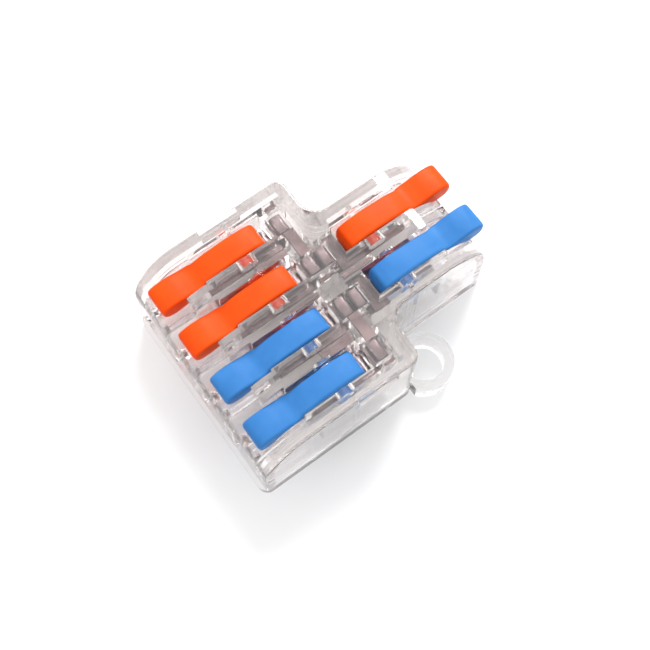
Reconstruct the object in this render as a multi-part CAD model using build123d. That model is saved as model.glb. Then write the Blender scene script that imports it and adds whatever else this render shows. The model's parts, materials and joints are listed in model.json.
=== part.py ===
from build123d import *
from math import cos, degrees, radians, sin
import os

# Six-pole lever wire connector: four lever clamps on one side, two on the other.
#
# Millimetres. +X runs along the wires towards the two-pole side, +Y towards the orange poles and
# +Z up. The origin is the centre of the underside of the base plate.
#
# Every pole is drawn once, on Y = 0 of the four-pole side, and then shifted along Y or mirrored.

# Housing, seen from above: a wide block for four poles and a narrow one for two
PITCH = 6.0                 # distance between neighbouring poles
HALF_LENGTH = 17.9          # centre to each wire face, at the base plate
INNER_WALL_X = 3.0          # where the wide block ends and the narrow one begins
SIDE_MARGIN = 0.9           # outer face beyond the last pole's half pitch
HEIGHT = 12.8
CORNER_R = 1.2
NOTCH_R = 2.2               # rounding where the narrow block meets the wide one
WIDE_HALF = 2 * PITCH + SIDE_MARGIN
NARROW_HALF = PITCH + SIDE_MARGIN

# Housing, seen from the side
FACE_INSET = 0.45           # wire faces stand back from the base plate's lip
FACE_LEAN = 0.55            # and lean inwards up to the top
ARCH_R = 6.0                # big rounding over the wire faces
EDGE_R = 0.35

# Base plate
FLOOR = 1.2
RIM_TOP = 2.6
RIM = 0.6
RIM_REACH = 16.4            # the rim stops short of the wire faces
FIT = 0.05                  # gap between moulded parts that are pushed together

# Screw ear on the base plate
EAR_X = 5.45
EAR_Y = -11.3
EAR_R = 3.5
EAR_HOLE_R = 2.35

# One pole, on the four-pole side
MIRROR_X = 1.0              # the two-pole side's clamps are mirrored about this plane
WIRE_Z = 3.9
WIRE_R = 1.8
FUNNEL_R = 3.0              # at twice the funnel's depth, half of which is outside the face
FUNNEL_DEPTH = 1.2
CHAMBER_WIDTH = 4.8
CHAMBER_OUTER_X = -11.0
CHAMBER_INNER_X = -0.1
CHAMBER_TOP = 8.0
SLOT_WIDTH = 3.4
GRIP_SLOT_WIDTH = 3.9
SLOT_INNER_X = -1.6
GRIP_SLOT_X = -10.5
GRIP_SLOT_FLOOR = 9.15
LEDGE_X = -13.2             # outwards of here the grips lie over one open ledge
LEDGE_R = 0.8

# Lever
PIVOT_X = -5.4
PIVOT_Z = 9.9
LEVER_WIDTH = 2.9
GRIP_WIDTH = 3.35
GRIP_X = -11.2              # the grip is wider outwards of here
LEVER_TIP_X = -16.3
LEVER_INNER_X = -2.4
TRUNNION_R = 1.1
TRUNNION_SPAN = 4.6
TRUNNION_GAP = 0.06
TRUNNION_END_GAP = 0.06

# Clamp spring, bent from one strip
STRIP = 0.3
STRIP_WIDTH = 4.4
LEG_WIDTH = 2.8
LEG_END_X = -0.3            # where the leg narrows to the loop's width
LOOP_WIDTH = 2.2
LOOP_X = 0.1                # centre of the round top of the loop, where the leaf bends
LOOP_Z = 9.05
LOOP_R = 0.6                # bend radii are to the middle of the strip
ARM_Z = 7.45
ARM_BEND_R = 0.4
WINDOW_WIDTH = 3.2
WINDOW_START_X = -5.2
CLAMP_LEG_X = -9.2
CLAMP_LEG_BOTTOM = 4.0
CLAMP_EDGE_Z = 4.85
CLAMP_BEND_R = 0.6
LOOP_SPLIT = 0.05           # gap between the fixed and the bending half of the loop
LOOP_ROOM_WIDTH = 2.6
LOOP_ROOM_START_X = -0.95
LOOP_ROOM_END_X = 1.1
LOOP_ROOM_TOP = 10.0

# Busbars, tin-plated copper
BUSBAR = 0.5
BUSBAR_Z = 5.0
TONGUE_WIDTH = 2.8
TONGUE_END_X = -10.2
LINK_HALF = 0.65
LINK_REACH = 1.5            # the link's ends stand this far past its outer poles' centres
LINK_END_GAP = 0.3
WEB_START_X = -4.6          # a web beside the link joins the tongues too
WEB_END_X = -0.7
WEB_INNER_Y = 0.35          # both webs reach in this close to the middle

# Pockets that core out the side walls beside the outer levers, open below
SIDE_WALL = 1.05
POCKET_WIDTH = 0.55
SKIN = 1.1                  # wall left over the pockets
POCKET_SPLIT_X = -5.15      # a rib parts each wall's two pockets here
POCKET_RIB = 0.5
WIDE_POCKET_END_X = 1.7
NARROW_POCKET_END_X = -2.2  # on the two-pole side, before mirroring

# Snap windows in the wide block's side walls
WINDOW_LENGTH = 5.0
WINDOW_HEIGHT = 1.6
WINDOW_DEPTH = 0.5
WINDOW_Z = 11.1
WINDOW_X = {1: -5.5, -1: -2.5}      # by side, +Y and -Y

# Dimple that the moulding gate leaves in the top
GATE_X = 1.5
GATE_Y = 0.5
GATE_R = 0.45

CLOSE = 0.01                # nearer than this is the same place
OVERLAP = 0.05              # how far a cut runs into the next one
FAR = 40                    # beyond the whole part

ORANGE = 1
BLUE = -1
POLES = {
    "four_orange_outer": (1.5 * PITCH, False),
    "four_orange_inner": (0.5 * PITCH, False),
    "four_blue_inner": (-0.5 * PITCH, False),
    "four_blue_outer": (-1.5 * PITCH, False),
    "two_orange": (0.5 * PITCH, True),
    "two_blue": (-0.5 * PITCH, True),
}


def place(shape, pole):
    """Moves a shape drawn for Y = 0 of the four-pole side to its own pole."""
    y, mirrored = POLES[pole]
    if mirrored:
        shape = mirror(shape, about=Plane.YZ.offset(MIRROR_X))
    return Pos(0, y, 0) * shape


def box(x0, x1, y0, y1, z0, z1):
    """A block between two corners."""
    size = Box(x1 - x0, y1 - y0, z1 - z0)
    return Pos((x0 + x1) / 2, (y0 + y1) / 2, (z0 + z1) / 2) * size


def across(face_outline, width):
    """Extrudes an outline in XZ to a width centred on Y = 0."""
    return extrude(face_outline, amount=width / 2, both=True)


def y_cylinder(x, z, radius, width):
    return Pos(x, 0, z) * Rot(90, 0, 0) * Cylinder(radius, width)


def plan(inset):
    """The T-shaped outline from above, with rounded corners, set in by a margin."""
    x = HALF_LENGTH - inset
    step = INNER_WALL_X - inset
    wide = WIDE_HALF - inset
    narrow = NARROW_HALF - inset
    corners = [(-x, -wide), (step, -wide), (step, -narrow), (x, -narrow),
               (x, narrow), (step, narrow), (step, wide), (-x, wide)]
    outline = make_face(Polyline(*corners, close=True))

    def is_notch(vertex):
        return abs(vertex.X - step) < CLOSE and abs(abs(vertex.Y) - narrow) < CLOSE

    rounded = fillet([v for v in outline.vertices() if not is_notch(v)], CORNER_R - inset)
    return fillet([v for v in rounded.vertices() if is_notch(v)], NOTCH_R + inset)


def side_profile(inset):
    """The housing from the side, set in by a margin: leaning wire faces under a big arch."""
    low = HALF_LENGTH - FACE_INSET - inset
    high = low - FACE_LEAN
    top = HEIGHT - inset
    outline = make_face(Polyline((-low, 0), (low, 0), (high, top), (-high, top), close=True))
    corners = [v for v in outline.vertices() if v.Y > top - CLOSE]
    return Plane.XZ * fillet(corners, ARCH_R - inset)


def rim_ring(gap):
    """The upright rim of the base plate, or with a gap the room for it in the housing."""
    ring = plan(0) - plan(RIM + gap)
    reach = RIM_REACH + gap
    solid = extrude(ring, amount=RIM_TOP + gap)
    return solid & box(-reach, reach, -WIDE_HALF, WIDE_HALF, 0, RIM_TOP + gap)


def lever_outline():
    """The lever from the side, closed: a thick grip, a thin neck, a long hump and the cam."""
    top = Spline((LEVER_TIP_X + 0.15, 11.45), (-14.6, 12.1), (-11.3, 11.75), (-9.3, 12.3),
                 (-5.6, 12.6), (-3.3, 12.3), tangents=((1, 1.1), (1, -0.35)))
    crown = ThreePointArc(top @ 1, (-2.62, 11.95), (LEVER_INNER_X, 11.2))
    end = Line(crown @ 1, (LEVER_INNER_X, 9.95))
    cam = ThreePointArc(end @ 1, (-3.05, 8.75), (-4.35, 8.25))
    hub = ThreePointArc(cam @ 1, (-5.4, 8.15), (-6.5, 8.55))
    belly = Spline(hub @ 1, (-8.6, 10.1), (-11.2, 10.75), (-13.0, 10.0), (-14.6, 9.6),
                   tangents=((-0.8, 0.75), (-1, -0.15)))
    chin = ThreePointArc(belly @ 1, (-15.75, 9.85), (LEVER_TIP_X, 10.6))
    nose = Line(chin @ 1, top @ 0)
    return Plane.XZ * make_face(top + crown + end + cam + hub + belly + chin + nose)


def lever(pole):
    outline = lever_outline()
    body = across(outline, LEVER_WIDTH)
    grip = across(outline, GRIP_WIDTH) & box(LEVER_TIP_X - 1, GRIP_X, -GRIP_WIDTH, GRIP_WIDTH, 0, HEIGHT)
    trunnions = y_cylinder(PIVOT_X, PIVOT_Z, TRUNNION_R, TRUNNION_SPAN)
    return place(body + grip + trunnions, pole)


def pole_cavity():
    """Everything that one pole takes out of the housing."""
    chamber = box(CHAMBER_OUTER_X, CHAMBER_INNER_X, -CHAMBER_WIDTH / 2, CHAMBER_WIDTH / 2, 0, CHAMBER_TOP)
    slot = box(GRIP_SLOT_X, SLOT_INNER_X, -SLOT_WIDTH / 2, SLOT_WIDTH / 2, CHAMBER_TOP - 1, HEIGHT + 1)
    grip = box(-2 * HALF_LENGTH, GRIP_SLOT_X, -GRIP_SLOT_WIDTH / 2, GRIP_SLOT_WIDTH / 2,
               GRIP_SLOT_FLOOR, HEIGHT + 1)
    seat = y_cylinder(PIVOT_X, PIVOT_Z, TRUNNION_R + TRUNNION_GAP, TRUNNION_SPAN + 2 * TRUNNION_END_GAP)
    loop_room = box(LOOP_ROOM_START_X, LOOP_ROOM_END_X, -LOOP_ROOM_WIDTH / 2, LOOP_ROOM_WIDTH / 2,
                    0, LOOP_ROOM_TOP)
    return chamber + slot + grip + seat + loop_room


def wire_entry(pole):
    """The round way in for the wire, with a funnel at the housing's face."""
    lean = FACE_LEAN * WIRE_Z / HEIGHT
    face_x = HALF_LENGTH - FACE_INSET - lean
    face_x = 2 * MIRROR_X - face_x if POLES[pole][1] else -face_x
    length = CHAMBER_OUTER_X - face_x
    bore = Cylinder(WIRE_R, length + 1)
    funnel = Pos(0, 0, -length / 2) * Cone(FUNNEL_R, WIRE_R, 2 * FUNNEL_DEPTH)
    entry = Pos((face_x + CHAMBER_OUTER_X) / 2, 0, WIRE_Z) * Rot(0, 90, 0) * (bore + funnel)
    return place(entry, pole)


def ledges():
    """The open ledge under each side's grips, between the side walls."""
    cuts = []
    for outer_pole, mirrored in ((1.5 * PITCH, False), (0.5 * PITCH, True)):
        half = outer_pole + GRIP_SLOT_WIDTH / 2
        ledge = box(-FAR, LEDGE_X, -half, half, GRIP_SLOT_FLOOR, FAR)
        ledge = fillet(ledge.edges().filter_by(Axis.Z).sort_by(Axis.X)[-2:], LEDGE_R)
        cuts.append(mirror(ledge, about=Plane.YZ.offset(MIRROR_X)) if mirrored else ledge)
    return cuts


def link_span(colour, gap):
    """Where one colour's link starts and ends along Y, with a gap at both ends."""
    near = (PITCH / 2 - LINK_REACH - gap) * colour
    far = (1.5 * PITCH + LINK_REACH + gap) * colour
    return min(near, far), max(near, far)


def link_room():
    """Room for the busbar links and the rib under them, one for each colour, and for both colours' webs."""
    top = BUSBAR_Z + BUSBAR + FIT
    rooms = []
    start_x = CHAMBER_INNER_X - OVERLAP
    for colour in (ORANGE, BLUE):
        low, high = link_span(colour, LINK_END_GAP)
        rooms.append(box(start_x, 2 * MIRROR_X - start_x, low, high, 0, top))
    web_room = (WEB_START_X - LINK_END_GAP, CHAMBER_INNER_X)
    rooms.append(box(*web_room, -1.5 * PITCH, 1.5 * PITCH, 0, top))
    rooms.append(mirror(box(*web_room, -PITCH / 2, PITCH / 2, 0, top), about=Plane.YZ.offset(MIRROR_X)))
    return rooms


def side_pockets():
    """The pockets in the side walls of the wide block and of the narrow one."""
    pockets = []
    inside = across(side_profile(SKIN), 2 * FAR)
    blocks = ((WIDE_HALF, False, WIDE_POCKET_END_X), (NARROW_HALF, True, NARROW_POCKET_END_X))
    for half, mirrored, end_x in blocks:
        outer_y = half - SIDE_WALL
        spans = ((-HALF_LENGTH, POCKET_SPLIT_X - POCKET_RIB / 2), (POCKET_SPLIT_X + POCKET_RIB / 2, end_x))
        for start, end in spans:
            for low_y in (outer_y - POCKET_WIDTH, -outer_y):
                pocket = box(start, end, low_y, low_y + POCKET_WIDTH, 0, HEIGHT)
                if mirrored:
                    pocket = mirror(pocket, about=Plane.YZ.offset(MIRROR_X))
                pockets.append(pocket & inside)
    return pockets


def snap_windows():
    windows = []
    for side in (1, -1):
        y = side * (WIDE_HALF - WINDOW_DEPTH / 2)
        windows.append(Pos(WINDOW_X[side], y, WINDOW_Z) * Box(WINDOW_LENGTH, WINDOW_DEPTH, WINDOW_HEIGHT))
    return windows


def housing():
    """The clear upper housing, open below."""
    body = extrude(plan(0), amount=HEIGHT) & across(side_profile(0), 2 * FAR)
    curved = [e for e in body.edges() if e.center().Z > FLOOR + 2 and e.geom_type != GeomType.LINE]
    straight = [e for e in body.edges().filter_by(GeomType.LINE) if e.center().Z > HEIGHT - CLOSE]
    body = fillet(curved + straight, EDGE_R)
    body = body - box(-FAR, FAR, -FAR, FAR, 0, FLOOR + FIT)
    body = body - rim_ring(FIT)
    for pole in POLES:
        body = body - place(pole_cavity(), pole) - wire_entry(pole)
    for cut in ledges() + link_room() + side_pockets() + snap_windows():
        body = body - cut
    return body - Pos(GATE_X, GATE_Y, HEIGHT) * Sphere(GATE_R)


def base_plate():
    """The clear floor with its rim, the rib under the busbars and the screw ear."""
    body = extrude(plan(0), amount=FLOOR) + rim_ring(0)
    ear = Pos(EAR_X, EAR_Y, RIM_TOP / 2) * Cylinder(EAR_R, RIM_TOP)
    ear = ear - box(-FAR, INNER_WALL_X - RIM / 2, -FAR, FAR, -FAR, FAR)
    body = body + ear
    body = body - Pos(EAR_X, EAR_Y, 0) * Cylinder(EAR_HOLE_R, 3 * RIM_TOP)
    for colour in (ORANGE, BLUE):
        low, high = link_span(colour, 0)
        body = body + box(MIRROR_X - LINK_HALF, MIRROR_X + LINK_HALF, low, high, 0, BUSBAR_Z)
    return body


def web(outer_y):
    """The part of the orange busbar that bridges its tongues on the four-pole side, out to outer_y."""
    return box(WEB_START_X, WEB_END_X, WEB_INNER_Y, outer_y, BUSBAR_Z, BUSBAR_Z + BUSBAR)


def busbar(colour):
    """One plate with a tongue under each of its colour's three poles."""
    low, high = link_span(colour, 0)
    top = BUSBAR_Z + BUSBAR
    plate = box(MIRROR_X - LINK_HALF, MIRROR_X + LINK_HALF, low, high, BUSBAR_Z, top)
    wide_web = web(1.5 * PITCH + LINK_REACH)
    narrow_web = mirror(web(PITCH / 2 + LINK_REACH), about=Plane.YZ.offset(MIRROR_X))
    if colour == BLUE:
        wide_web = mirror(wide_web, about=Plane.XZ)
        narrow_web = mirror(narrow_web, about=Plane.XZ)
    plate = plate + wide_web + narrow_web
    tongue = box(TONGUE_END_X, MIRROR_X, -TONGUE_WIDTH / 2, TONGUE_WIDTH / 2, BUSBAR_Z, top)
    for pole in POLES:
        if POLES[pole][0] * colour > 0:
            plate = plate + place(tongue, pole)
    return plate


def bend(x, z, radius, start, end, width):
    """Strip bent round (x, z), between two angles from +X towards +Z."""
    far = []
    near = []
    for angle in (radians(start), radians((start + end) / 2), radians(end)):
        far.append((x + (radius + STRIP / 2) * cos(angle), z + (radius + STRIP / 2) * sin(angle)))
        near.append((x + (radius - STRIP / 2) * cos(angle), z + (radius - STRIP / 2) * sin(angle)))
    edges = ThreePointArc(*far) + ThreePointArc(*near) + Line(far[0], near[0]) + Line(far[2], near[2])
    return across(Plane.XZ * make_face(edges), width)


def upright(x, low, high):
    """Strip standing up between two heights."""
    return box(x - STRIP / 2, x + STRIP / 2, -LOOP_WIDTH / 2, LOOP_WIDTH / 2, low, high)


def fixed_spring(pole):
    """The leg that lies on the busbar's tongue, and the loop up to its top."""
    leg_z = BUSBAR_Z + BUSBAR + STRIP / 2
    low = leg_z - STRIP / 2
    high = leg_z + STRIP / 2
    leg = box(TONGUE_END_X, LEG_END_X, -LEG_WIDTH / 2, LEG_WIDTH / 2, low, high)
    leg = leg + box(LEG_END_X, LOOP_X, -LOOP_WIDTH / 2, LOOP_WIDTH / 2, low, high)
    heel = bend(LOOP_X, leg_z + LOOP_R, LOOP_R, -90, 0, LOOP_WIDTH)
    riser = upright(LOOP_X + LOOP_R, leg_z + LOOP_R, LOOP_Z)
    crown = bend(LOOP_X, LOOP_Z, LOOP_R, 0, 90 - degrees(LOOP_SPLIT / 2 / LOOP_R), LOOP_WIDTH)
    return place(leg + heel + riser + crown, pole)


def spring_leaf(pole):
    """The rest of the loop, the arm that the lever presses, and the leg whose window carries the wire."""
    crown = bend(LOOP_X, LOOP_Z, LOOP_R, 90 + degrees(LOOP_SPLIT / 2 / LOOP_R), 180, LOOP_WIDTH)
    fall = upright(LOOP_X - LOOP_R, ARM_Z + ARM_BEND_R, LOOP_Z)
    arm_start = LOOP_X - LOOP_R - ARM_BEND_R
    foot = bend(arm_start, ARM_Z + ARM_BEND_R, ARM_BEND_R, -90, 0, LOOP_WIDTH)
    top = ARM_Z + STRIP / 2
    outside = CLAMP_LEG_X - STRIP / 2
    inside = CLAMP_LEG_X + STRIP / 2
    face = make_face(Polyline((arm_start, top), (outside, top), (outside, CLAMP_LEG_BOTTOM),
                              (inside, CLAMP_LEG_BOTTOM), (inside, top - STRIP), (arm_start, top - STRIP),
                              close=True))
    outer = [v for v in face.vertices() if v.X < CLAMP_LEG_X and v.Y > top - CLOSE]
    face = fillet(outer, CLAMP_BEND_R + STRIP / 2)
    inner = [v for v in face.vertices()
             if abs(v.X - inside) < CLOSE and abs(v.Y - top + STRIP) < CLOSE]
    face = fillet(inner, CLAMP_BEND_R - STRIP / 2)
    strip = across(Plane.XZ * face, STRIP_WIDTH)
    window = box(CLAMP_LEG_X - 2, WINDOW_START_X, -WINDOW_WIDTH / 2, WINDOW_WIDTH / 2, CLAMP_EDGE_Z, top + 1)
    return place(crown + fall + foot + strip - window, pole)


os.makedirs("parts", exist_ok=True)
export_step(housing(), "parts/upper_housing.step")
export_step(base_plate(), "parts/base_plate.step")
export_step(busbar(ORANGE), "parts/busbar_orange.step")
export_step(busbar(BLUE), "parts/busbar_blue.step")
for name in POLES:
    export_step(lever(name), f"parts/lever_{name}.step")
    export_step(fixed_spring(name), f"parts/spring_base_{name}.step")
    export_step(spring_leaf(name), f"parts/spring_leaf_{name}.step")
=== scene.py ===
"""Lever wire connector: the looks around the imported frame. Metres, in the frame's own axes."""
import json
import math

import bmesh
import bpy
import numpy as np
from mathutils import Matrix, Vector


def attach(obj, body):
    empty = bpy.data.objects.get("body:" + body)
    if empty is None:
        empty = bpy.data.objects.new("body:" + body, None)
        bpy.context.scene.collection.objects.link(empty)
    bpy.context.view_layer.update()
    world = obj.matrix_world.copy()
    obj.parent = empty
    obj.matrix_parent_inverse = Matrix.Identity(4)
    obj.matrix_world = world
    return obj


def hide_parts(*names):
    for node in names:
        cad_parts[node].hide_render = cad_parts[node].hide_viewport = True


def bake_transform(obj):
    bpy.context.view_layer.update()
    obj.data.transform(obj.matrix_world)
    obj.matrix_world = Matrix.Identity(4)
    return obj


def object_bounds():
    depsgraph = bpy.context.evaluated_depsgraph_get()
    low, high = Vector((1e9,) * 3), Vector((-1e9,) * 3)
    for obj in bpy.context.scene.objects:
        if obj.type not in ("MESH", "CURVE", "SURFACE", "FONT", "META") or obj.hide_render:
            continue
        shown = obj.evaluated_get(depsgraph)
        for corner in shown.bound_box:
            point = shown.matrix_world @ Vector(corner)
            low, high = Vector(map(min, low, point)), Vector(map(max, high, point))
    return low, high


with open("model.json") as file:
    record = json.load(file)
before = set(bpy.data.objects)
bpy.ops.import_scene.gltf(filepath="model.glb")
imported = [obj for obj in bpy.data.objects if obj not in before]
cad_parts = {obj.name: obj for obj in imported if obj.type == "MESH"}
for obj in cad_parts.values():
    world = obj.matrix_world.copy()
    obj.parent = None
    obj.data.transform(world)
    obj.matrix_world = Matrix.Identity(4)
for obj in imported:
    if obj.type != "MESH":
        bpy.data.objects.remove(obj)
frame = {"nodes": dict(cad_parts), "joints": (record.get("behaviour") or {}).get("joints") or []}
cad_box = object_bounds()
MM = 0.001

# Camera: steeply from above, outside the corner between the four-pole side and the blue side
CAMERA_PLACE = Vector((-22.99, -32.80, 113.15)) * MM
CAMERA_HEADING = math.radians(55.30)      # the way it looks, from +X towards +Y
CAMERA_DOWN = math.radians(70.82)         # and how steeply down
CAMERA_ROLL = math.radians(-1.38)
CAMERA_LENS = 56.24                       # mm on a 36 mm sensor
CAMERA_NEAREST = 0.005                    # closer things are cut off

# The room around: (height of the direction, colour there), from the horizon up
SKY = ((0.08, (0.9, 0.88, 0.87)), (0.6, (1.2, 1.2, 1.2)))
SKY_STRENGTH = 0.45
BACKDROP = (1, 1, 1, 1)                   # what the camera sees past the floor
# Lights: metres and watts
KEY_LIGHT = {"place": (0.18, 0.15, 0.24), "size": 0.16, "power": 0.88}
OVERHEAD_LIGHT = {"place": (0.05, 0.05, 0.5), "size": 1.0, "power": 2.9}
LIGHT_BOUNCES = 32                        # light turns many times inside clear walls
FLOOR_HALF = 0.3
FLOOR_GAP = 0.00002                       # between the floor and the underside

CLEAR_NODES = ("upper_housing", "base_plate")
BUSBAR_NODES = ("busbar_orange", "busbar_blue")
POLES = [name.removeprefix("lever_") for name in frame["nodes"] if name.startswith("lever_")]


# ---------------------------------------------------------------- small helpers

def mirrored(pole):
    """The two-pole side's clamps face the other way."""
    return pole.startswith("two")


def colour_of(pole):
    """The colour of the lever at this pole."""
    return "orange" if "orange" in pole else "blue"


def joint(name):
    """A joint of the frame by name."""
    return next(j for j in frame["joints"] if j["name"] == name)


def pivot(pole):
    """The lever's trunnion axis at this pole."""
    return Vector(joint("lever_hinge_" + pole)["pos_m"])


def loop_centre(pole):
    """The axis of the spring's loop at this pole."""
    return Vector(joint("leaf_bend_" + pole)["pos_m"])


def smooth_by_angle(obj, degrees):
    """Smooth shading, with edges sharper than the angle left sharp."""
    mesh = obj.data
    mesh.shade_smooth()
    bm = bmesh.new()
    bm.from_mesh(mesh)
    limit = math.radians(degrees)
    for edge in bm.edges:
        edge.smooth = len(edge.link_faces) == 2 and edge.calc_face_angle() < limit
    bm.to_mesh(mesh)
    bm.free()


def apply_modifiers(obj):
    """Bakes an object's modifiers into its mesh."""
    graph = bpy.context.evaluated_depsgraph_get()
    graph.update()
    made = bpy.data.meshes.new_from_object(obj.evaluated_get(graph))
    obj.modifiers.clear()
    obj.data = made


def new_object(name, bm):
    """Turns a bmesh into an object of the scene, with its faces outwards."""
    bmesh.ops.recalc_face_normals(bm, faces=bm.faces)
    mesh = bpy.data.meshes.new(name)
    bm.to_mesh(mesh)
    bm.free()
    obj = bpy.data.objects.new(name, mesh)
    bpy.context.scene.collection.objects.link(obj)
    return obj


def loft(bm, rings):
    """Faces between closed rings of points, and one on each end."""
    for first, second in zip(rings, rings[1:]):
        for k in range(len(first)):
            bm.faces.new((first[k - 1], first[k], second[k], second[k - 1]))
    bm.faces.new(rings[0])
    bm.faces.new(rings[-1])


# ---------------------------------------------------------------- materials

class Nodes:
    """A new node material with a Principled shader, and short calls to wire it."""

    def __init__(self, name):
        self.material = bpy.data.materials.new(name)
        self.material.use_nodes = True
        self.tree = self.material.node_tree
        self.shader = self.tree.nodes["Principled BSDF"]
        self.coords = self.add("ShaderNodeTexCoord").outputs["Object"]

    def add(self, kind):
        return self.tree.nodes.new(kind)

    def link(self, start, end):
        self.tree.links.new(start, end)

    def set(self, **values):
        """Sets the shader's own sockets, named with _ for spaces."""
        for key, value in values.items():
            self.shader.inputs[key.replace("_", " ")].default_value = value

    def noise(self, scale, detail, stretch=None):
        """Noise over the object, with its scale in waves per metre."""
        node = self.add("ShaderNodeTexNoise")
        node.inputs["Scale"].default_value = scale
        node.inputs["Detail"].default_value = detail
        coords = self.coords
        if stretch:
            mapping = self.add("ShaderNodeMapping")
            mapping.inputs["Scale"].default_value = stretch
            self.link(coords, mapping.inputs["Vector"])
            coords = mapping.outputs["Vector"]
        self.link(coords, node.inputs["Vector"])
        return node.outputs["Fac"]

    def spread(self, value, low, high):
        """Maps a 0 to 1 value onto a range."""
        node = self.add("ShaderNodeMapRange")
        node.inputs["To Min"].default_value = low
        node.inputs["To Max"].default_value = high
        self.link(value, node.inputs["Value"])
        return node.outputs["Result"]

    def ramp(self, value, first, second, start, end):
        """Blends two colours along a value."""
        node = self.add("ShaderNodeValToRGB")
        node.color_ramp.elements[0].position = start
        node.color_ramp.elements[1].position = end
        node.color_ramp.elements[0].color = (*first, 1)
        node.color_ramp.elements[1].color = (*second, 1)
        self.link(value, node.inputs["Fac"])
        return node.outputs["Color"]

    def bump(self, value, depth, strength, under=None):
        """Raises the surface by up to depth metres; under is a bump that this one lies on."""
        node = self.add("ShaderNodeBump")
        node.inputs["Strength"].default_value = strength
        node.inputs["Distance"].default_value = depth
        self.link(value, node.inputs["Height"])
        if under is not None:
            self.link(under, node.inputs["Normal"])
        return node.outputs["Normal"]


def clear_plastic():
    """Moulded polycarbonate: clear, slightly warm in thick places, with faint flow waves."""
    n = Nodes("clear_plastic")
    n.set(Base_Color=(0.999, 0.993, 0.99, 1), Transmission_Weight=0.965, IOR=1.585)
    tint = n.add("ShaderNodeVolumeAbsorption")
    tint.inputs["Color"].default_value = (0.74, 0.60, 0.54, 1)
    tint.inputs["Density"].default_value = 26
    n.link(tint.outputs["Volume"], n.tree.nodes["Material Output"].inputs["Volume"])
    polish = n.noise(scale=700, detail=3)
    n.link(n.spread(polish, low=0.015, high=0.06), n.shader.inputs["Roughness"])
    waves = n.bump(n.noise(scale=260, detail=1), depth=0.00003, strength=0.3)
    grain = n.bump(n.noise(scale=2600, detail=2), depth=0.000006, strength=0.3, under=waves)
    n.link(grain, n.shader.inputs["Normal"])
    return n.material


def lever_plastic(name, dark, light):
    """Satin moulded nylon with a fine spark-eroded grain."""
    n = Nodes(name)
    n.set(Specular_IOR_Level=0.12, Subsurface_Weight=0.08, Subsurface_Scale=0.0006)
    flow = n.noise(scale=420, detail=3)
    n.link(n.ramp(flow, dark, light, start=0.25, end=0.75), n.shader.inputs["Base Color"])
    satin = n.noise(scale=1500, detail=4)
    n.link(n.spread(satin, low=0.34, high=0.5), n.shader.inputs["Roughness"])
    swell = n.bump(n.noise(scale=330, detail=1), depth=0.00005, strength=0.3)
    grain = n.bump(n.noise(scale=9000, detail=3), depth=0.000012, strength=0.5, under=swell)
    n.link(grain, n.shader.inputs["Normal"])
    return n.material


def metal(name, dark, light, grain):
    """Rolled strip: its grain, so many metres deep, runs along the wires."""
    n = Nodes(name)
    n.set(Metallic=1.0)
    clouds = n.noise(scale=500, detail=4)
    n.link(n.ramp(clouds, dark, light, start=0.3, end=0.7), n.shader.inputs["Base Color"])
    streaks = n.noise(scale=3000, detail=3, stretch=(0.06, 1, 1))
    n.link(n.spread(streaks, low=0.3, high=0.5), n.shader.inputs["Roughness"])
    n.link(n.bump(streaks, depth=grain, strength=0.6), n.shader.inputs["Normal"])
    return n.material


def floor_paper():
    """Matt white paper, very slightly cloudy."""
    n = Nodes("floor_paper")
    n.set(Roughness=0.85, Specular_IOR_Level=0.15)
    clouds = n.noise(scale=90, detail=2)
    shades = (0.90, 0.90, 0.90), (0.92, 0.92, 0.92)
    n.link(n.ramp(clouds, *shades, start=0.3, end=0.7), n.shader.inputs["Base Color"])
    return n.material


MATERIALS = {
    "clear": clear_plastic(),
    "orange": lever_plastic("orange_nylon", (0.82, 0.066, 0.003), (0.90, 0.084, 0.005)),
    "blue": lever_plastic("blue_nylon", (0.035, 0.175, 0.47), (0.05, 0.215, 0.54)),
    "tin": metal("tinned_copper", (0.22, 0.15, 0.155), (0.38, 0.29, 0.29), grain=0.000004),
    "steel": metal("spring_steel", (0.13, 0.088, 0.092), (0.27, 0.205, 0.21), grain=0.000003),
}


def paint(obj, material):
    """Gives an object one of the materials above as its only one."""
    obj.data.materials.clear()
    obj.data.materials.append(MATERIALS[material])


# ---------------------------------------------------------------- levers

# The closed lever's outline, in mm outwards and up from its trunnions' axis
LEVER_TOP = [(-3.0, 1.40), (-2.75, 1.98), (-2.1, 2.40), (-1.0, 2.62), (0.2, 2.70), (2.0, 2.62), (3.9, 2.40),
             (4.9, 2.10), (5.7, 1.86), (6.8, 1.94), (8.2, 2.17), (9.2, 2.18), (10.1, 1.98), (10.75, 1.62)]
LEVER_BELLY = [(-3.0, 0.05), (-2.85, -0.55), (-2.35, -1.15), (-1.3, -1.62), (0.0, -1.74), (1.1, -1.35),
               (3.2, 0.20), (4.6, 0.72), (5.8, 0.85), (7.4, 0.15), (8.6, -0.22), (9.5, -0.26),
               (10.3, 0.05), (10.75, 0.62)]
LEVER_INNER = -3.0
LEVER_OUTER = 10.75
LEVER_HALF = 1.45
GRIP_HALF = 1.66
GRIP_STARTS = 5.0
GRIP_FULL = 5.75
LEVER_EDGE = 0.34               # radius of its edges and ends
LEVER_STEP = 0.22               # between sections
END_ANGLES = (0, 18, 36, 54, 72)
CORNER_STEPS = 5
THINNEST = 0.49                 # an edge's radius is at most this part of the section's height
LEVER_CREASE = 38               # sharper edges than this many degrees stay sharp
TRUNNION_R = 1.1
TRUNNION_HALF = 2.3
TRUNNION_CHAMFER = 0.2
TRUNNION_SIDES = 36
HOLLOW_AT = 8.6
HOLLOW_SIZE = (2.8, 1.9, 1.6)
HOLLOW_EDGE = 0.3


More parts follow.
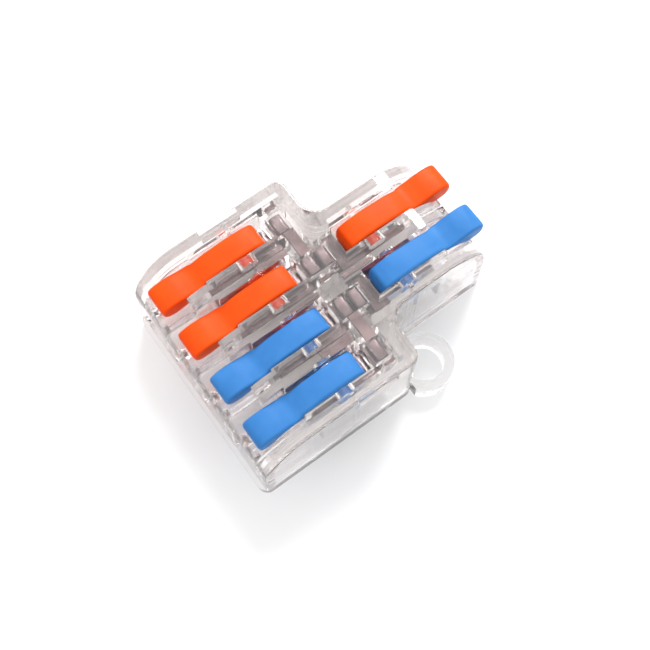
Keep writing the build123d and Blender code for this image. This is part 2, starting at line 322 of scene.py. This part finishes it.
def curve_through(points, x):
    """A smooth curve through points, as a cubic with averaged slopes."""
    xs = np.array([p[0] for p in points])
    ys = np.array([p[1] for p in points])
    slopes = np.gradient(ys, xs)
    i = int(np.clip(np.searchsorted(xs, x) - 1, 0, len(xs) - 2))
    step = xs[i + 1] - xs[i]
    t = min(max((x - xs[i]) / step, 0), 1)
    a = (1 + 2 * t) * (1 - t) ** 2 * ys[i] + t * (1 - t) ** 2 * step * slopes[i]
    b = t * t * (3 - 2 * t) * ys[i + 1] + t * t * (t - 1) * step * slopes[i + 1]
    return a + b


def eased(x, start, end):
    """0 before start, 1 past end and a smooth step between."""
    t = min(max((x - start) / (end - start), 0), 1)
    return t * t * (3 - 2 * t)


def rounded_section(half, low, high):
    """Points round the lever's section, a rounded rectangle, as (y, z)."""
    radius = min(LEVER_EDGE, THINNEST * (high - low))
    centres = [(half - radius, high - radius, 0), (-half + radius, high - radius, 90),
               (-half + radius, low + radius, 180), (half - radius, low + radius, 270)]
    points = []
    for y, z, start in centres:
        for k in range(CORNER_STEPS + 1):
            angle = math.radians(start + 90 * k / CORNER_STEPS)
            points.append((y + radius * math.cos(angle), z + radius * math.sin(angle)))
    return points


def lever_stations():
    """(distance along, inset) of each section: the insets round the two ends."""
    rounding = [(LEVER_EDGE * (1 - math.cos(math.radians(a))), LEVER_EDGE * (1 - math.sin(math.radians(a))))
                for a in END_ANGLES]
    inner = [(LEVER_INNER + shift, inset) for shift, inset in rounding]
    outer = [(LEVER_OUTER - shift, inset) for shift, inset in reversed(rounding)]
    straight = np.arange(LEVER_INNER + LEVER_EDGE, LEVER_OUTER - LEVER_EDGE, LEVER_STEP)
    return inner + [(x, 0.0) for x in straight] + outer


def lever_point(pole, along, y, up):
    """A place on a closed lever, from its trunnions' axis."""
    side = 1 if mirrored(pole) else -1
    return pivot(pole) + Vector((side * along, y, up)) * MM


def lever_blank(pole):
    """The lever's body, lofted from rounded sections."""
    bm = bmesh.new()
    rings = []
    for along, inset in lever_stations():
        half = LEVER_HALF + (GRIP_HALF - LEVER_HALF) * eased(along, GRIP_STARTS, GRIP_FULL)
        high = curve_through(LEVER_TOP, along)
        low = curve_through(LEVER_BELLY, along)
        section = rounded_section(half - inset, low + inset, high - inset)
        rings.append([bm.verts.new(lever_point(pole, along, y, z)) for y, z in section])
    loft(bm, rings)
    return new_object("lever_body_" + pole, bm)


def trunnion_rod(pole):
    """The two trunnions as one rod through the lever, with chamfered ends."""
    bm = bmesh.new()
    inside = TRUNNION_HALF - TRUNNION_CHAMFER
    end_r = TRUNNION_R - TRUNNION_CHAMFER
    turns = [2 * math.pi * k / TRUNNION_SIDES for k in range(TRUNNION_SIDES)]
    rings = []
    for y, radius in ((-TRUNNION_HALF, end_r), (-inside, TRUNNION_R), (inside, TRUNNION_R),
                      (TRUNNION_HALF, end_r)):
        rings.append([bm.verts.new(pivot(pole) + Vector((radius * math.cos(a), y, radius * math.sin(a))) * MM)
                      for a in turns])
    loft(bm, rings)
    return new_object("rod", bm)


def grip_hollow(pole):
    """The cored pocket in the underside of the grip."""
    bm = bmesh.new()
    bmesh.ops.create_cube(bm, size=1)
    bmesh.ops.scale(bm, vec=Vector(HOLLOW_SIZE) * MM, verts=bm.verts)
    bmesh.ops.bevel(bm, geom=bm.edges[:], offset=HOLLOW_EDGE * MM, segments=3, affect="EDGES", profile=0.5)
    bmesh.ops.translate(bm, vec=lever_point(pole, HOLLOW_AT, 0, 0), verts=bm.verts)
    return new_object("hollow", bm)


def lever(pole):
    """One lever: its body with the trunnions added and the grip cored out."""
    obj = lever_blank(pole)
    for cutter, operation in ((trunnion_rod(pole), "UNION"), (grip_hollow(pole), "DIFFERENCE")):
        step = obj.modifiers.new("join", "BOOLEAN")
        step.operation = operation
        step.object = cutter
        step.solver = "EXACT"
    cutters = [step.object for step in obj.modifiers]
    apply_modifiers(obj)
    for cutter in cutters:
        bpy.data.objects.remove(cutter)
    smooth_by_angle(obj, LEVER_CREASE)
    paint(obj, colour_of(pole))
    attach(obj, "lever_" + pole)
    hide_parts("lever_" + pole)


# ---------------------------------------------------------------- clamp springs

# One strip, in mm inwards and up from the axis at the top of its loop
STRIP = 0.3
STRIP_EDGE = 0.05
STRIP_HALF = 2.2
STRIP_CREASE = 40
BEVEL_FROM = 50                 # edges sharper than this many degrees are rounded
LEG_HALF = 1.4
LOOP_HALF = 1.1
LOOP_R = 0.6
LEG_UP = -3.4
LEG_END = -10.3
LEG_START = -0.4
FOOT_R = 0.4
TURN_R = 0.28                   # the loop's two turns, with a flat between them
FLAT_STATIONS = (0.7, 0.4, 0.1, -0.1, -0.4, -0.7)
ARC_STEPS = 8
FALL_LOW = -1.2
ARM_UP = -1.6
CLAMP_R = 0.6
CLAMP_AT = -9.3
CLAMP_LOW = -5.05
WINDOW_HALF = 1.6
WINDOW_START = -5.3
WINDOW_LOW = -4.2


def spring_point(pole, inwards, y, up):
    """A place near a spring, from its loop's axis."""
    side = -1 if mirrored(pole) else 1
    return loop_centre(pole) + Vector((side * inwards, y, up)) * MM


def arc(x, z, radius, start, end, steps=ARC_STEPS):
    """Points on an arc, in degrees from inwards to up."""
    angles = [math.radians(start + (end - start) * k / steps) for k in range(steps + 1)]
    return [(x + radius * math.cos(a), z + radius * math.sin(a)) for a in angles]


def strip_piece(name, pole, path, columns, hole=None):
    """Strip bent along a path, as a sheet given its thickness; hole says which middle faces are cut."""
    bm = bmesh.new()
    rows = [[bm.verts.new(spring_point(pole, x, y, z)) for y in columns] for x, z in path]
    middle = (len(columns) - 1) // 2
    for k, (first, second) in enumerate(zip(rows, rows[1:])):
        for c in range(len(columns) - 1):
            if hole and c == middle and hole(path[k], path[k + 1]):
                continue
            bm.faces.new((first[c], first[c + 1], second[c + 1], second[c]))
    obj = new_object(name + pole, bm)
    thick = obj.modifiers.new("thick", "SOLIDIFY")
    thick.thickness = STRIP * MM
    thick.offset = 0
    thick.use_even_offset = True
    edge = obj.modifiers.new("edge", "BEVEL")
    edge.width = STRIP_EDGE * MM
    edge.segments = 2
    edge.limit_method = "ANGLE"
    edge.angle_limit = math.radians(BEVEL_FROM)
    apply_modifiers(obj)
    smooth_by_angle(obj, STRIP_CREASE)
    paint(obj, "steel")
    return obj


def loop_path():
    """From the leg up over the loop's top and down to the arm."""
    corner = LOOP_R - TURN_R
    path = [(LEG_START, LEG_UP)]
    path += arc(0, LEG_UP + LOOP_R, LOOP_R, -90, 0)
    path += arc(corner, corner, TURN_R, 0, 90)
    path += [(part * corner, LOOP_R) for part in FLAT_STATIONS]
    path += arc(-corner, corner, TURN_R, 90, 180)
    path += arc(-LOOP_R - FOOT_R, FALL_LOW, FOOT_R, 0, -90, steps=6)
    return path


def arm_path():
    """From the loop along under the lever, and down into the clamp."""
    path = [(-LOOP_R - FOOT_R, ARM_UP), (WINDOW_START, ARM_UP)]
    path += arc(CLAMP_AT + CLAMP_R, ARM_UP - CLAMP_R, CLAMP_R, 90, 180)
    return path + [(CLAMP_AT, WINDOW_LOW), (CLAMP_AT, CLAMP_LOW)]


def in_window(first, second):
    """Whether the strip between two points of the arm is cut out in the middle."""
    return second[0] < WINDOW_START - STRIP_EDGE and second[1] > WINDOW_LOW - STRIP_EDGE


def spring(pole):
    """The leg on the busbar, the loop, which keeps its rest shape, and the arm with its clamp window."""
    leg = strip_piece("spring_leg_", pole, [(LEG_END, LEG_UP), (LEG_START, LEG_UP)], (-LEG_HALF, LEG_HALF))
    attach(leg, "housing")
    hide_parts("spring_base_" + pole)

    loop = strip_piece("spring_loop_", pole, loop_path(), (-LOOP_HALF, LOOP_HALF))
    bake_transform(loop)
    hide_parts("spring_base_" + pole, "spring_leaf_" + pole)

    columns = (-STRIP_HALF, -WINDOW_HALF, WINDOW_HALF, STRIP_HALF)
    arm = strip_piece("spring_arm_", pole, arm_path(), columns, in_window)
    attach(arm, "leaf_" + pole)
    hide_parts("spring_leaf_" + pole)


# ---------------------------------------------------------------- build

for node in CLEAR_NODES:
    paint(frame["nodes"][node], "clear")
    frame["nodes"][node].visible_diffuse = False      # so that it doesn't darken what is behind it
for node in BUSBAR_NODES:
    paint(frame["nodes"][node], "tin")
for pole in POLES:
    lever(pole)
    spring(pole)


# ---------------------------------------------------------------- stage

def floor():
    """A sheet of pale paper under the object."""
    bm = bmesh.new()
    bmesh.ops.create_grid(bm, x_segments=1, y_segments=1, size=FLOOR_HALF)
    obj = new_object("floor", bm)
    obj.location.z = cad_box[0].z - FLOOR_GAP
    obj.data.materials.append(floor_paper())


def soft_light(name, place, size, power):
    """A round soft light aimed at the object."""
    data = bpy.data.lights.new(name, "AREA")
    data.shape = "DISK"
    data.size = size
    data.energy = power
    obj = bpy.data.objects.new(name, data)
    obj.location = place
    obj.rotation_euler = (-Vector(place)).to_track_quat("-Z", "Y").to_euler()
    bpy.context.scene.collection.objects.link(obj)
    return obj


def shine_through(light, nodes):
    """Lets a light through clear pieces instead of having them throw a solid shadow."""
    passed = bpy.data.collections.new(light.name + "_passes")
    for node in nodes:
        passed.objects.link(frame["nodes"][node])
    for entry in passed.collection_objects:
        entry.light_linking.link_state = "EXCLUDE"
    light.light_linking.blocker_collection = passed


def room():
    """A pale room, lighter higher up, that the camera sees as a white backdrop."""
    world = bpy.data.worlds.new("studio")
    world.use_nodes = True
    tree = world.node_tree
    direction = tree.nodes.new("ShaderNodeTexCoord").outputs["Generated"]
    split = tree.nodes.new("ShaderNodeSeparateXYZ")
    tree.links.new(direction, split.inputs["Vector"])
    ramp = tree.nodes.new("ShaderNodeValToRGB")
    for element, (height, colour) in zip(ramp.color_ramp.elements, SKY):
        element.position = height
        element.color = (*colour, 1)
    tree.links.new(split.outputs["Z"], ramp.inputs["Fac"])
    light = tree.nodes["Background"]
    light.inputs["Strength"].default_value = SKY_STRENGTH
    tree.links.new(ramp.outputs["Color"], light.inputs["Color"])
    backdrop = tree.nodes.new("ShaderNodeBackground")
    backdrop.inputs["Color"].default_value = BACKDROP
    rays = tree.nodes.new("ShaderNodeLightPath")
    either = tree.nodes.new("ShaderNodeMixShader")
    tree.links.new(rays.outputs["Is Camera Ray"], either.inputs["Fac"])
    tree.links.new(light.outputs["Background"], either.inputs[1])
    tree.links.new(backdrop.outputs["Background"], either.inputs[2])
    tree.links.new(either.outputs["Shader"], tree.nodes["World Output"].inputs["Surface"])
    bpy.context.scene.world = world


def studio():
    """The room, a key light from the right and behind, and a wide soft light overhead."""
    room()
    soft_light("key", **KEY_LIGHT)
    overhead = soft_light("overhead", **OVERHEAD_LIGHT)
    overhead.visible_glossy = False
    shine_through(overhead, CLEAR_NODES)
    bpy.context.scene.view_settings.view_transform = "Standard"
    cycles = bpy.context.scene.cycles
    cycles.max_bounces = LIGHT_BOUNCES
    cycles.transmission_bounces = LIGHT_BOUNCES
    cycles.glossy_bounces = LIGHT_BOUNCES
    cycles.transparent_max_bounces = LIGHT_BOUNCES


def camera():
    """The camera, from its place, heading, tilt and roll."""
    forward = Vector((math.cos(CAMERA_DOWN) * math.cos(CAMERA_HEADING),
                      math.cos(CAMERA_DOWN) * math.sin(CAMERA_HEADING), -math.sin(CAMERA_DOWN)))
    level = forward.cross(Vector((0, 0, 1))).normalized()
    upright = level.cross(forward)
    right = math.cos(CAMERA_ROLL) * level + math.sin(CAMERA_ROLL) * upright
    up = math.cos(CAMERA_ROLL) * upright - math.sin(CAMERA_ROLL) * level
    data = bpy.data.cameras.new("camera")
    data.lens = CAMERA_LENS
    data.clip_start = CAMERA_NEAREST
    obj = bpy.data.objects.new("camera", data)
    turn = Matrix((right, up, -forward)).transposed()
    obj.matrix_world = Matrix.Translation(CAMERA_PLACE) @ turn.to_4x4()
    bpy.context.scene.collection.objects.link(obj)
    bpy.context.scene.camera = obj


floor()
studio()
camera()
